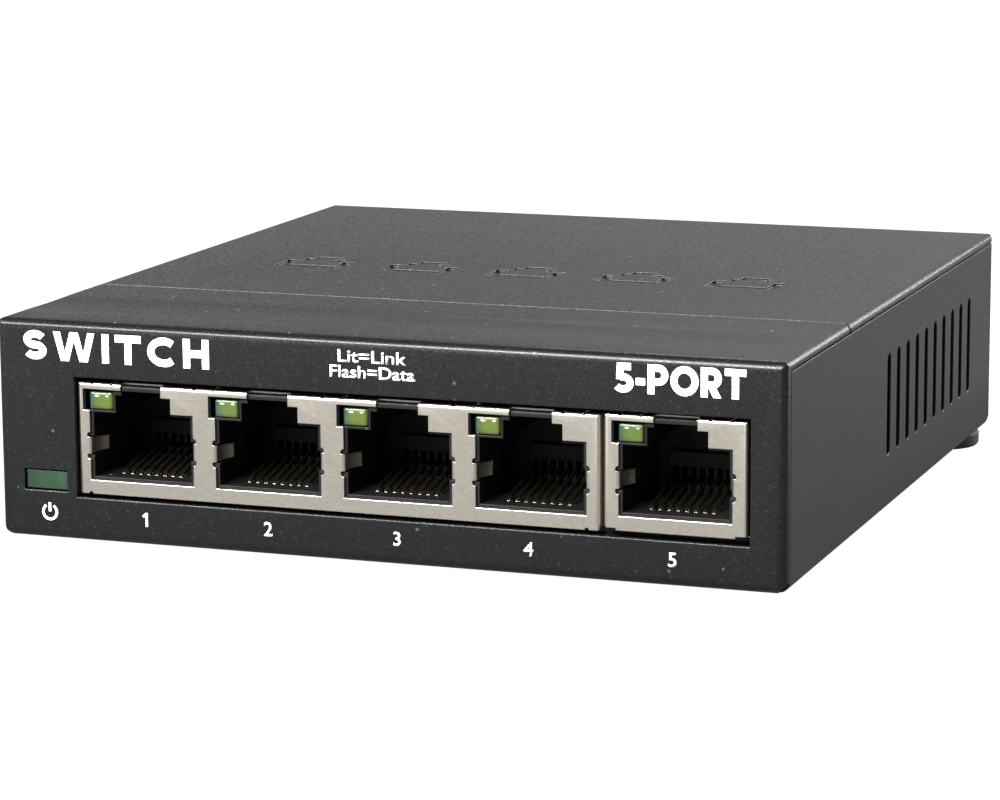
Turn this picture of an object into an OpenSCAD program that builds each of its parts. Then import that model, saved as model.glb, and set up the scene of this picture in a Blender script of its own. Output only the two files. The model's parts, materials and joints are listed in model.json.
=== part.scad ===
// Five-port desktop network switch in a folded steel case.
// Seen from the front: X runs to the right, Y runs to the back, Z runs up.
// The origin is the centre of the footprint, at the bottom of the rubber feet.
// Inside the modules, y is counted from the front face and z from the underside of the case.

/* [Case] */
// Width of the case
case_w = 94; // [94:1:130]
// Depth of the case
case_d = 101; // [100:1:150]
// Height of the case without its feet
case_h = 25.5; // [24:0.5:40]
// Thickness of the steel sheet
sheet = 0.8; // [0.6:0.05:1]
// Outside radius of the folds along the front, the back and the bottom
bend_r = 1.2; // [1.1:0.1:2]
// Outside radius of the folds along the sides of the top
top_bend_r = 0.9; // [0.9:0.1:1]
// Height of the lip that the top sheets turn down over the sides
lip_h = 1.05; // [1:0.05:2]
// Gap between the lip and the side wall below it
groove = 0.2; // [0.1:0.05:0.5]
// Depth of the top strip that belongs to the front panel
strip_d = 25.9; // [22:0.1:30]
// Gap of the seam between the top strip and the cover
seam_gap = 0.5; // [0.2:0.05:1]
// Depth of the shallow trough pressed along the top strip
trough = 0.22; // [0:0.02:0.4]
// Length that the front and rear panels wrap around the sides
wrap = 1.3; // [1.3:0.1:3]
// Gap between a panel's wrap and the side wall
wrap_gap = 0.15; // [0.1:0.05:0.5]
// Length of the inner tabs that lap behind the side walls and the floor
lap = 6; // [4:0.5:8]

/* [Side vents] */
// Number of slots on each side
vent_count = 10; // [4:1:11]
// Distance from one slot to the next
vent_pitch = 4.7; // [4:0.1:5]
// Width of a slot
vent_w = 1.7; // [1:0.1:2.5]
// Length of a slot, ends included
vent_h = 12.2; // [8:0.1:13]
// Distance from the front face to the first slot's centre
vent_start = 44.7; // [40:0.1:50]
// Height of the slots' lower ends
vent_low = 6.8; // [5:0.1:8]

/* [Top motif] */
// Width of one pressed socket outline
motif_w = 9; // [6:0.5:10]
// Distance from one outline to the next
motif_pitch = 14; // [12:0.1:16]
// Stroke of the outlines
motif_stroke = 1.5; // [1:0.1:2]
// Depth of the pressing
motif_depth = 0.35; // [0.1:0.05:0.5]
// Distance from the front face to the row's front edge
motif_y = 46.7; // [40:0.1:60]

/* [Feet and wall mounting] */
// Height of the rubber feet below the case
foot_h = 2; // [1:0.25:4]
// Radius of the feet
foot_r = 5; // [3:0.25:6]
// Distance from the side of the case to a rear foot's centre
rear_foot_inset = 5.4; // [5:0.1:8]
// Distance from the side of the case to a front foot's centre
front_foot_inset = 7.5; // [6:0.1:12]
// Distance from the front face to a front foot's centre
front_foot_y = 13.5; // [10:0.5:20]
// Distance between the two keyholes
keyhole_span = 66; // [50:1:70]
// Radius of a keyhole's round end
keyhole_r = 3.5; // [3:0.1:4.5]
// Radius of a keyhole's narrow end
keyhole_neck_r = 1.9; // [1.5:0.1:2.5]
// Distance from a keyhole's round end to its narrow end
keyhole_throw = 5.5; // [4:0.5:8]

/* [Circuit board] */
// Thickness of the board
board_t = 1.6; // [1:0.1:2]
// Height of the standoffs above the case floor
standoff_h = 3.1; // [2.5:0.1:5]
// Gap between the board and the inner tabs at the sides
board_gap = 1; // [0.5:0.1:2]
// Distance from the front face to the board's front edge
board_front = 2.2; // [2:0.1:3]
// Radius of the board screws' shanks and the case screws' shanks
screw_r = 1.45; // [1.2:0.05:1.6]
// Clearance around a screw in a hole it passes through
screw_gap = 0.25; // [0.1:0.05:0.5]
// Clearance around a screw in a threaded hole
thread_gap = 0.05; // [0.03:0.01:0.1]

/* [Sockets] */
// Distance from one socket to the next
port_pitch = 15.65; // [15.5:0.01:16.5]
// Number of sockets in the ganged connector
gang_count = 4; // [1:1:4]
// Centre of the ganged connector, from the middle of the case
gang_x = -5.7; // [-7:0.1:-5]
// Gap between the ganged connector and the single one
gang_gap = 0.42; // [0.4:0.02:1.5]
// Distance from the front face back to the connectors' faces
jack_y = 0.55; // [0.2:0.05:1]
// Depth of the connectors
jack_d = 18; // [16:0.5:20]
// Height of the connectors
jack_h = 12.95; // [12.9:0.05:14]
// Thickness of the shields' sheet
shield_t = 0.25; // [0.15:0.05:0.3]
// Ganged shield beyond the last socket's half pitch
gang_margin = 0.15; // [0.1:0.05:0.3]
// Single shield beyond its socket's half pitch
single_margin = 0.34; // [0.1:0.02:0.4]
// How much higher the single connector sits than the ganged one
single_lift = 0.2; // [0:0.05:0.3]
// Radius of the fold along a shield's top edge
shield_bend_r = 0.4; // [0.3:0.1:1]
// Gap between the shields and the panel's window, below them and to their right
window_gap = 0.45; // [0.2:0.05:0.8]
// Gap between the ganged shield and the window at the left
window_left_gap = 0.1; // [0.05:0.05:0.5]
// Gap between the ganged shield and the window at the top
window_top_gap = 0.65; // [0.4:0.05:0.8]
// Width of a socket's mouth
mouth_w = 12.9; // [12.4:0.05:13]
// Height from a connector's lower edge to the mouth's lower edge
mouth_low = 1.6; // [1.4:0.05:1.8]
// Height from a connector's lower edge to the mouth's shoulders
mouth_shoulder = 9.8; // [9.7:0.05:10]
// Width of the wide step that takes the plug's latch
latch_w = 7.4; // [7:0.05:7.6]
// Height from a connector's lower edge to the top of the wide step
latch_top = 11.6; // [11.5:0.05:11.7]
// Width of the narrow step, which is open to the shield's top
tab_w = 5; // [4.5:0.05:5.2]
// Clearance between the plastic housings and their shields
housing_gap = 0.05; // [0.03:0.01:0.1]
// Depth of a socket's cavity
cavity_d = 12.9; // [12:0.1:14]
// Number of contact wires in a socket
wire_count = 8; // [4:1:8]
// Distance from one contact wire to the next
wire_pitch = 1.016; // [1:0.002:1.05]
// Thickness of a contact wire
wire_t = 0.3; // [0.2:0.05:0.35]
// Width of a contact wire
wire_w = 0.4; // [0.3:0.05:0.45]

/* [Lights] */
// Width of a socket's light
led_w = 3; // [2.5:0.1:3.2]
// Height of a socket's light
led_h = 1.95; // [1.8:0.05:2.1]
// Depth of a socket's light
led_d = 5; // [3:0.5:6]
// Clearance around a socket's light in its pocket
led_gap = 0.1; // [0.05:0.05:0.15]
// Clearance above a socket's light
led_top_gap = 0.4; // [0.1:0.05:0.4]
// Width of the power light's lens
lens_w = 5.2; // [4:0.1:6]
// Height of the power light's lens
lens_h = 2.2; // [1.8:0.1:2.4]
// Distance from the left side of the case to the lens's centre
lens_inset = 5.9; // [5.8:0.1:6]
// Clearance around the lens in its window
lens_gap = 0.15; // [0.1:0.05:0.2]

/* [Power inlet] */
// Centre of the inlet, from the middle of the case
inlet_x = -18; // [-20:0.5:-14]
// Width of the inlet's housing
inlet_w = 9; // [8.5:0.1:9.5]
// Height of the inlet's housing
inlet_h = 11; // [10.5:0.1:12]
// Depth of the inlet's housing
inlet_d = 14; // [13:0.1:15]
// Radius of the inlet's round opening
inlet_r = 3.1; // [3:0.05:3.3]
// Depth of the inlet's round opening
inlet_bore_d = 9.5; // [9:0.1:10]
// Radius of the inlet's centre pin
pin_r = 1; // [0.8:0.05:1.25]
// Clearance around the inlet in the rear panel
inlet_gap = 0.25; // [0.1:0.05:0.4]

/* [Hidden] */
port_count = gang_count + 1;

$fn = 48;
half_w = case_w / 2;
fold_steps = 6;
cut = 1;

// Heights that the pieces stack up from
board_low = sheet + standoff_h;
board_top = board_low + board_t;
board_half_w = half_w - 2 * sheet - board_gap;
board_back = case_d - 2 * sheet - 2.4;
jack_low = board_top + 0.05;
jack_top = jack_low + jack_h;
wall_top = case_h - lip_h - groove;
cover_front = strip_d + seam_gap;

// Connector sizes
gang_w = gang_count * port_pitch + 2 * gang_margin;
single_w = port_pitch + 2 * single_margin;
single_x = gang_x + gang_w / 2 + gang_gap + single_w / 2;
jack_back = jack_y + jack_d;
housing_front = jack_y + shield_t + housing_gap;
cavity_back = housing_front + cavity_d;
mouth_bottom = jack_low + mouth_low;
shoulder_z = jack_low + mouth_shoulder;
latch_z = jack_low + latch_top;
floor_z = mouth_bottom + 0.4;
wall_inset = 0.4;
cavity_w = mouth_w - 2 * wall_inset;
channel_top = floor_z - 0.7;
wires_half_w = (wire_count - 1) / 2 * wire_pitch + wire_w / 2;
tail_y = cavity_back + 0.75;
tail_low = board_low - 0.9;
comb_bar = [3, 4.7];

// Light pocket at the upper left of each socket, measured from the socket's centre
led_right = -3.62;
led_low = jack_low + 9.85;
led_window_top = led_low + led_h + led_top_gap;
led_back = housing_front + led_d;
pocket_wall = 0.25;
lead_y = cavity_back + 1.25;
lead_t = 0.45;

// Side springs between two relief holes at each side of a mouth
spring_low = jack_low + 4.4;
spring_high = jack_low + 6.8;
relief_r = 0.38;

// Board screws
board_screw_x = board_half_w - 4;
board_screw_ys = [40, case_d - 17];
standoff_r = 2.75;
head_r = 2.7;
head_h = 1.4;

// Cover legs, which the case screws pull down to the floor
leg_x = 32;
leg_w = 8;
leg_foot = 8;
leg_screw_y = case_d - 2 * sheet - 4;

// Power lens
lens_x = -half_w + lens_inset;
lens_low = board_top + 0.28;
lens_back = board_front + 4.6;

// Power inlet
inlet_back = case_d - 0.2;
inlet_front = inlet_back - inlet_d;
inlet_z = board_top + 6.3;

function port_x(i) =
    i > gang_count ? single_x : gang_x + (i - (gang_count + 1) / 2) * port_pitch;

// Points of an arc around a centre, from one angle to another
function arc(centre, r, from, to, steps = fold_steps) =
    [for (k = [0 : steps])
        let (a = from + (to - from) * k / steps)
        centre + r * [cos(a), sin(a)]];

function unit(v) = v / norm(v);

// Sideways direction of a path at one of its points, stretched at the corners
function side_at(path, k) =
    let (
        last = len(path) - 1,
        back = unit(path[max(k, 1)] - path[max(k, 1) - 1]),
        ahead = unit(path[min(k, last - 1) + 1] - path[min(k, last - 1)]),
        mean = unit(back + ahead))
    [-mean[1], mean[0]] / (mean * ahead);

// Outline of a strip of even thickness that follows a path
function ribbon(path, t) =
    concat(
        [for (k = [0 : len(path) - 1]) path[k] + side_at(path, k) * t / 2],
        [for (k = [len(path) - 1 : -1 : 0]) path[k] - side_at(path, k) * t / 2]);

// Height of the top strip, with its trough
function strip_top(y) =
    let (run = (y - 3) / (strip_d - 6))
    case_h - trough * pow(sin(180 * max(0, min(1, run))), 2);

module in_case() {
    translate([0, -case_d / 2, foot_h])
        children();
}

module block(x, y, z) {
    translate([x[0], y[0], z[0]])
        cube([x[1] - x[0], y[1] - y[0], z[1] - z[0]]);
}

// Extrudes an outline in (y, z) along X
module along_x(x) {
    translate([x[0], 0, 0])
        rotate([90, 0, 90])
            linear_extrude(x[1] - x[0])
                children();
}

// Extrudes an outline in (x, z) along Y
module along_y(y) {
    translate([0, y[1], 0])
        rotate([90, 0, 0])
            linear_extrude(y[1] - y[0])
                children();
}

module along_z(z) {
    translate([0, 0, z[0]])
        linear_extrude(z[1] - z[0])
            children();
}

// Sets the last socket's pieces at the height of the single connector
module at_height(i) {
    translate([0, 0, i > gang_count ? single_lift : 0])
        children();
}

module both_sides() {
    children();
    mirror([1, 0, 0])
        children();
}

module front_to_back() {
    children();
    translate([0, case_d, 0])
        mirror([0, 1, 0])
            children();
}

// Outline of the case seen from above, with folded front corners
module panel_plan(inset, back) {
    polygon(concat(
        arc([-half_w + bend_r, bend_r], bend_r - inset, 180, 270),
        arc([half_w - bend_r, bend_r], bend_r - inset, 270, 360),
        [[half_w - inset, back], [-half_w + inset, back]]));
}

// Outline of the case seen from the front, with clipped lower corners
module case_face(inset, clip) {
    slant = inset * tan(22.5);
    polygon(concat(
        [[-half_w + inset, clip + slant], [-half_w + clip + slant, inset],
         [half_w - clip - slant, inset], [half_w - inset, clip + slant]],
        arc([half_w - top_bend_r, case_h - top_bend_r], top_bend_r - inset, 0, 90),
        arc([-half_w + top_bend_r, case_h - top_bend_r], top_bend_r - inset, 90, 180)));
}

// Outline of the front panel seen from the side
module front_profile(inset, back) {
    steps = 12;
    polygon(concat(
        [[back, inset]],
        arc([bend_r, bend_r], bend_r - inset, 270, 180),
        arc([bend_r, case_h - bend_r], bend_r - inset, 180, 90),
        [for (k = [0 : steps])
            let (y = 3 + (strip_d - 6) * k / steps)
            [y, strip_top(y) - inset]],
        [[back, case_h - inset]]));
}

module front_solid(inset, back) {
    clip = 1.2;
    intersection() {
        front_end = inset > 0 ? back + cut : back;
        along_z([0, case_h])
            panel_plan(inset, front_end);
        along_y([-cut, back + 2 * cut])
            case_face(inset, clip);
        along_x([-half_w, half_w])
            front_profile(inset, front_end);
    }
}

// Inner tabs that are spot-welded behind the side walls and on the floor
module lap_tabs(floor_half_w) {
    reach = [sheet / 2, wrap + lap];
    both_sides()
        block([half_w - 2 * sheet, half_w - sheet], reach, [3, wall_top - 3]);
    block([-floor_half_w, floor_half_w], reach, [sheet, 2 * sheet]);
}

module front_panel() {
    window_x = [gang_x - gang_w / 2 - window_left_gap, single_x + single_w / 2 + window_gap];
    window_z = [jack_low - window_gap, jack_top + window_top_gap];
    color("#2c2d30") in_case() {
        difference() {
            front_solid(0, strip_d);
            front_solid(sheet, strip_d);
            block([-case_w, case_w], [wrap, strip_d + cut], [-cut, case_h - lip_h]);
            block(window_x, [-cut, sheet + cut], window_z);
            block(
                [lens_x - lens_w / 2 - lens_gap, lens_x + lens_w / 2 + lens_gap],
                [-cut, sheet + cut],
                [lens_low - lens_gap, lens_low + lens_h + lens_gap]);
        }
        lap_tabs(30);
    }
}

module rear_panel() {
    color("#2c2d30") in_case()
        translate([0, case_d, 0])
            mirror([0, 1, 0])
                difference() {
                    union() {
                        difference() {
                            front_solid(0, wrap);
                            front_solid(sheet, wrap);
                            block([-case_w, case_w], [-cut, 2 * cut], [wall_top, case_h + cut]);
                        }
                        lap_tabs(14);
                    }
                    block(
                        [inlet_x - inlet_w / 2 - inlet_gap, inlet_x + inlet_w / 2 + inlet_gap],
                        [-cut, sheet + cut],
                        [board_top - inlet_gap, board_top + inlet_h + inlet_gap]);
                }
}

module vent() {
    along_x([half_w - 2 * sheet, half_w + cut])
        translate([0, vent_low + vent_w / 2]) {
            circle(d = vent_w);
            translate([0, vent_h - vent_w])
                circle(d = vent_w);
            translate([-vent_w / 2, 0])
                square([vent_w, vent_h - vent_w]);
        }
}

module keyhole() {
    translate([0, 0, -cut])
        cylinder(r = keyhole_r, h = sheet + 2 * cut);
    block([-keyhole_neck_r, keyhole_neck_r], [0, keyhole_throw], [-cut, sheet + cut]);
    translate([0, keyhole_throw, -cut])
        cylinder(r = keyhole_neck_r, h = sheet + 2 * cut);
}

module base_chassis() {
    length = [wrap + wrap_gap, case_d - wrap - wrap_gap];
    outer = concat(
        [[-half_w, wall_top]],
        arc([-half_w + bend_r, bend_r], bend_r, 180, 270),
        arc([half_w - bend_r, bend_r], bend_r, 270, 360),
        [[half_w, wall_top]]);
    inner = concat(
        [[half_w - sheet, wall_top]],
        arc([half_w - bend_r, bend_r], bend_r - sheet, 360, 270),
        arc([-half_w + bend_r, bend_r], bend_r - sheet, 270, 180),
        [[-half_w + sheet, wall_top]]);
    color("#303134") in_case()
        difference() {
            along_y(length)
                polygon(concat(outer, inner));
            both_sides()
                for (k = [0 : vent_count - 1])
                    translate([0, vent_start + k * vent_pitch, 0])
                        vent();
            for (x = [-keyhole_span / 2, keyhole_span / 2])
                translate([x, case_d / 2, 0])
                    keyhole();
            at_board_screws()
                translate([0, 0, -cut])
                    cylinder(r = standoff_r - 0.75, h = sheet + 2 * cut);
            at_case_screws()
                translate([0, 0, -cut])
                    cylinder(r = screw_r + screw_gap, h = sheet + 2 * cut);
        }
}

module at_board_screws() {
    for (x = [-board_screw_x, board_screw_x], y = board_screw_ys)
        translate([x, y, 0])
            children();
}

module at_case_screws() {
    for (x = [-leg_x, leg_x])
        translate([x, leg_screw_y, 0])
            children();
}

// Socket outline for the pressed motif: a body with two steps above it
module socket_outline(w) {
    body = w * 0.56;
    step = w * 0.18;
    translate([-w / 2, 0])
        square([w, body]);
    translate([-w * 0.3, body - 0.01])
        square([w * 0.6, step]);
    translate([-w * 0.19, body + step - 0.02])
        square([w * 0.38, step]);
}

module motif(depth) {
    for (k = [0 : port_count - 1])
        translate([(k - (port_count - 1) / 2) * motif_pitch, motif_y, 0])
            along_z(depth)
                difference() {
                    socket_outline(motif_w);
                    translate([0, motif_stroke])
                        socket_outline(motif_w - 2 * motif_stroke);
                }
}

module cover_solid(inset) {
    low = inset > 0 ? case_h - lip_h - cut : case_h - lip_h;
    front = inset > 0 ? cover_front - cut : cover_front;
    r = top_bend_r;
    intersection() {
        along_z([low, case_h])
            polygon(concat(
                [[-half_w + inset, front], [half_w - inset, front]],
                arc([half_w - bend_r, case_d - bend_r], bend_r - inset, 0, 90),
                arc([-half_w + bend_r, case_d - bend_r], bend_r - inset, 90, 180)));
        along_y([front, case_d])
            polygon(concat(
                [[-half_w + inset, low], [half_w - inset, low]],
                arc([half_w - r, case_h - r], r - inset, 0, 90),
                arc([-half_w + r, case_h - r], r - inset, 90, 180)));
        along_x([-half_w, half_w])
            polygon(concat(
                [[front, case_h - inset], [front, low], [case_d - inset, low]],
                arc([case_d - r, case_h - r], r - inset, 0, 90)));
    }
}

module top_cover() {
    under = case_h - sheet;
    tongue_gap = 0.1;
    tongue_half = half_w - 2 * sheet - tongue_gap;
    tongue_x = [-tongue_half, tongue_half];
    tab_half = 4;
    color("#38393c") in_case() {
        difference() {
            cover_solid(0);
            cover_solid(sheet);
            motif([case_h - motif_depth, case_h + cut]);
        }
        motif([under - motif_depth, under]);
        block(
            tongue_x,
            [strip_d - 4, cover_front + sheet],
            [under - trough - tongue_gap - sheet, under - trough - tongue_gap]);
        block(tongue_x, [cover_front, cover_front + sheet], [under - 2 * tongue_gap - trough, under]);
        both_sides()
            for (y = [cover_front + 8, cover_front + (case_d - cover_front) / 2, case_d - 16])
                block(
                    [half_w - 2 * sheet, half_w - sheet],
                    [y - tab_half, y + tab_half],
                    [wall_top - 4.5, case_h - sheet / 2]);
        both_sides()
            difference() {
                union() {
                    block(
                        [leg_x - leg_w / 2, leg_x + leg_w / 2],
                        [case_d - 2 * sheet, case_d - sheet],
                        [bend_r, case_h - sheet / 2]);
                    block(
                        [leg_x - leg_w / 2, leg_x + leg_w / 2],
                        [case_d - 2 * sheet - leg_foot, case_d - bend_r],
                        [sheet, 2 * sheet]);
                }
                translate([leg_x, leg_screw_y, 0])
                    cylinder(r = screw_r + thread_gap, h = 3 * sheet);
            }
    }
}

// Pan-head screw with a cross recess, its head's seat at z = 0 and its shank pointing down
module screw(length) {
    recess_w = 0.7;
    recess_l = 3;
    difference() {
        union() {
            cylinder(r = head_r, h = head_h * 0.6);
            translate([0, 0, head_h * 0.6])
                cylinder(r1 = head_r, r2 = head_r * 0.72, h = head_h * 0.4);
            translate([0, 0, -length])
                cylinder(r = screw_r, h = length);
        }
        for (turn = [0, 90])
            rotate([0, 0, turn])
                translate([-recess_l / 2, -recess_w / 2, head_h * 0.35])
                    cube([recess_l, recess_w, head_h]);
    }
}

module case_screws() {
    color("#26272a") in_case()
        at_case_screws()
            mirror([0, 0, 1])
                screw(4.6);
}

module board_screws() {
    color("silver") in_case()
        at_board_screws()
            translate([0, 0, board_top])
                screw(board_t + standoff_h - 0.4);
}

module board_standoffs() {
    color("lightgrey") in_case()
        at_board_screws()
            difference() {
                union() {
                    translate([0, 0, sheet])
                        cylinder(r = standoff_r, h = standoff_h);
                    cylinder(r = standoff_r - 0.75, h = sheet + 0.1);
                }
                translate([0, 0, sheet])
                    cylinder(r = screw_r + thread_gap, h = standoff_h + cut);
            }
}

// Places that the shields' legs and the housings' pegs share with the board
leg_y = [jack_y + 8, jack_y + 9.4];
peg_y = jack_y + 11.3;
peg_r = 1.55;

module shield_legs(x, w, slack) {
    for (edge = [x - w / 2, x + w / 2 - shield_t])
        block(
            [edge - slack, edge + shield_t + slack],
            [leg_y[0] - slack, leg_y[1] + slack],
            [tail_low - (slack > 0 ? cut : 0), jack_low + (slack > 0 ? 0 : 0.5)]);
}

module housing_pegs(x, w, r, low, high) {
    for (px = [x - w / 2 + 2.35, x + w / 2 - 2.35])
        translate([px, peg_y, low])
            cylinder(r = r, h = high - low);
}

module main_board() {
    hole = 0.7;
    color("#1f5a38") in_case()
        difference() {
            block([-board_half_w, board_half_w], [board_front, board_back], [board_low, board_top]);
            both_sides()
                block(
                    [leg_x - leg_w / 2 - 1.5, case_w],
                    [case_d - 2 * sheet - leg_foot - 1, case_d],
                    [board_low - cut, board_top + cut]);
            at_board_screws()
                translate([0, 0, board_low - cut])
                    cylinder(r = screw_r + screw_gap, h = board_t + 2 * cut);
            shield_legs(gang_x, gang_w, 0.2);
            shield_legs(single_x, single_w, 0.2);
            housing_pegs(gang_x, gang_w, peg_r + 0.1, board_low - cut, board_top + cut);
            housing_pegs(single_x, single_w, peg_r + 0.1, board_low - cut, board_top + cut);
            for (i = [1 : port_count]) {
                for (k = [0 : wire_count - 1])
                    translate([wire_x(i, k) - hole / 2, tail_y - hole / 2, board_low - cut])
                        cube([hole, hole, board_t + 2 * cut]);
                for (x = lead_xs(i))
                    translate([x - hole / 2, lead_y - hole / 2, board_low - cut])
                        cube([hole, hole, board_t + 2 * cut]);
            }
            for (y = inlet_lug_ys)
                block(
                    [inlet_x - 1.3, inlet_x + 1.3],
                    [y - 0.5, y + 0.5],
                    [board_low - cut, board_top + cut]);
        }
}

function wire_x(i, k) = port_x(i) + (k - (wire_count - 1) / 2) * wire_pitch;
function lead_xs(i) = [port_x(i) - 6, port_x(i) - 4.6];

// Stepped mouth of a socket, as cut in the shield
module mouth(x) {
    reach = [-cut, jack_y + shield_t + 0.01];
    top_reach = [-cut, jack_y + shield_bend_r + 0.8];
    block([x - mouth_w / 2, x + mouth_w / 2], reach, [mouth_bottom, shoulder_z]);
    block([x, x + latch_w / 2], reach, [shoulder_z - 0.1, latch_z]);
    block([x - tab_w / 2, x + tab_w / 2], top_reach, [latch_z - 0.1, jack_top + cut]);
    block([x - mouth_w / 2 - 0.8, x], reach, [shoulder_z - 0.1, led_window_top]);
    for (side = [-1, 1]) {
        for (z = [spring_low, spring_high])
            translate([x + side * mouth_w / 2, -cut, z])
                rotate([-90, 0, 0])
                    cylinder(r = relief_r, h = jack_y + shield_t + cut);
        translate([x + side * (mouth_w / 2 + 0.1) - 0.25, -cut, spring_low])
            cube([0.5, jack_y + shield_t + cut, spring_high - spring_low]);
    }
}

// Spring tab that folds in from the mouth's right edge and presses on a plug
module side_spring() {
    r = 0.3;
    edge = mouth_w / 2;
    skin = jack_y + shield_t / 2;
    root = skin + r;
    tip = jack_y + 4;
    low = spring_low + 0.22;
    high = spring_high - 0.22;
    taper = 0.3;
    path = concat(
        [[edge + r + 0.3, skin]],
        arc([edge + r, root], r, 270, 180, 4),
        [[edge - 0.2, jack_y + 1.7], [edge - 0.9, jack_y + 2.8], [edge - 0.8, tip - 0.5]]);
    intersection() {
        along_z([low, high])
            polygon(ribbon(path, shield_t));
        along_x([0, edge + 1])
            polygon([[0, low], [root, low], [tip, low + taper], [tip, high - taper], [root, high], [0, high]]);
    }
}

// Leaf that stands up from the shield's top behind the panel
module top_finger(x) {
    w = 2.2;
    path = [
        [jack_y + 0.6, jack_top - 0.12], [jack_y + 1.1, jack_top + 0.05],
        [jack_y + 3.4, jack_top + 0.45], [jack_y + 5, jack_top + 0.1], [jack_y + 5.4, jack_top - 0.2]];
    along_x([x - w / 2, x + w / 2])
        polygon(ribbon(path, 0.2));
}

module finger_notches(x) {
    for (side = [-1, 1])
        translate([x + side * 1.2, -cut, jack_top])
            rotate([-90, 0, 0])
                cylinder(r = 0.22, h = jack_y + 2 + cut);
}

module shield_solid(x, w, inset) {
    side_r = 0.5;
    low = inset > 0 ? jack_low - cut : jack_low;
    half = w / 2;
    intersection() {
        along_z([low, jack_top])
            polygon(concat(
                [for (p = arc([-half + side_r, jack_y + side_r], side_r - inset, 180, 270)) p + [x, 0]],
                [for (p = arc([half - side_r, jack_y + side_r], side_r - inset, 270, 360)) p + [x, 0]],
                [[x + half - inset, jack_back - inset], [x - half + inset, jack_back - inset]]));
        along_x([x - half, x + half])
            polygon(concat(
                [[jack_back - inset, low], [jack_y + inset, low]],
                arc([jack_y + shield_bend_r, jack_top - shield_bend_r], shield_bend_r - inset, 180, 90),
                [[jack_back - inset, jack_top - inset]]));
    }
}

module jack_shield(x, w, ports, finger_xs) {
    difference() {
        shield_solid(x, w, 0);
        shield_solid(x, w, shield_t);
        for (i = ports)
            mouth(port_x(i));
        for (fx = finger_xs)
            finger_notches(fx);
    }
    for (i = ports)
        translate([port_x(i), 0, 0])
            both_sides()
                side_spring();
    for (fx = finger_xs)
        top_finger(fx);
    shield_legs(x, w, 0);
}

// The leaves nearest a shield's ends stand this far in from them
finger_inset = 3.05;

module gang_jack_shield() {
    ends = [gang_x - gang_w / 2 + finger_inset, gang_x + gang_w / 2 - finger_inset];
    joints = [for (i = [1 : gang_count - 1]) port_x(i) + port_pitch / 2];
    color("#b9b2a6") in_case()
        difference() {
            jack_shield(gang_x, gang_w, [1 : gang_count], concat(ends, joints));
            for (side = [-1, 1])
                translate([gang_x + side * (gang_w / 2 - 1.5), -cut, jack_low])
                    rotate([-90, 0, 0])
                        cylinder(r = 0.25, h = jack_y + shield_t + cut);
        }
}

module single_jack_shield() {
    ends = [single_x - single_w / 2 + finger_inset, single_x + single_w / 2 - finger_inset];
    color("#b9b2a6") in_case()
        at_height(port_count)
            difference() {
                jack_shield(single_x, single_w, [port_count], ends);
                for (side = [-1, 1])
                    translate([single_x + side * single_w / 2 - 1.4, 0, jack_low - cut])
                        cube([2.8, jack_y + 1, cut + 0.25]);
            }
}

// Everything that is hollow in the housing behind one mouth
module socket_cavity(x) {
    open = housing_front - cut;
    ceiling = led_low - led_gap - pocket_wall;
    half = cavity_w / 2;
    slot_w = wire_w + 0.2;
    block([x - half, x + half], [open, cavity_back], [floor_z, ceiling]);
    block(
        [x + led_right + led_gap + pocket_wall, x + latch_w / 2],
        [open, cavity_back],
        [ceiling - 0.1, latch_z]);
    block([x - tab_w / 2, x + tab_w / 2], [open, cavity_back - 2], [latch_z - 0.1, jack_top - shield_t - 0.6]);
    for (side = [-1, 1])
        block(
            [x + side * mouth_w / 2 - 0.5, x + side * mouth_w / 2 + 0.5],
            [open, jack_y + 6.3],
            [spring_low + 0.05, spring_high - 0.05]);
    block(
        [x + led_right - led_w - led_gap - 0.35, x + led_right + led_gap],
        [open, led_back + 0.2],
        [led_low - led_gap, led_window_top]);
    block([x - 6.5, x - 4.1], [led_back, lead_y + 0.6], [led_low + 0.6, led_low + 1.8]);
    block([x - 6.5, x - 4.1], [lead_y - 0.6, lead_y + 0.6], [board_top, led_low + 1.7]);
    block(
        [x - wires_half_w - 0.2, x + wires_half_w + 0.2],
        [housing_front + 2.1, tail_y + 0.4],
        [board_top, channel_top]);
    block(
        [x - wires_half_w - 0.2, x + wires_half_w + 0.2],
        [housing_front + 2.1, housing_front + 3.7],
        [board_top, floor_z + cut]);
    for (k = [0 : wire_count - 1])
        translate([(k - (wire_count - 1) / 2) * wire_pitch + x - slot_w / 2, cavity_back - 0.1, floor_z + 0.6])
            cube([slot_w, 0.7, 2.3]);
}

// Ribs between the contact wires and the bar that stands out above them
module comb(x) {
    rib = wire_pitch - wire_w - 0.25;
    for (k = [0 : wire_count])
        translate([(k - wire_count / 2) * wire_pitch + x - rib / 2, cavity_back - 1.3, floor_z - 0.1])
            cube([rib, 1.4, comb_bar[0] + 0.2]);
    block(
        [x - wires_half_w - 0.6, x + wires_half_w + 0.6],
        [cavity_back - 1.3, cavity_back + 0.1],
        [floor_z + comb_bar[0], floor_z + comb_bar[1]]);
}

module jack_housing(x, w, ports) {
    half = w / 2 - shield_t - housing_gap;
    difference() {
        union() {
            block(
                [x - half, x + half],
                [jack_y + shield_bend_r + housing_gap, jack_back - shield_t - housing_gap],
                [jack_low, jack_top - shield_t - housing_gap]);
            block([x - half + 0.3, x + half - 0.3], [housing_front, jack_y + 2], [jack_low, jack_top - shield_bend_r]);
            housing_pegs(x, w, peg_r, board_low - 0.3, jack_low + 0.5);
        }
        for (i = ports)
            socket_cavity(port_x(i));
    }
    for (i = ports)
        comb(port_x(i));
}

module gang_jack_housing() {
    color("#17171a") in_case()
        jack_housing(gang_x, gang_w, [1 : gang_count]);
}

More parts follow.
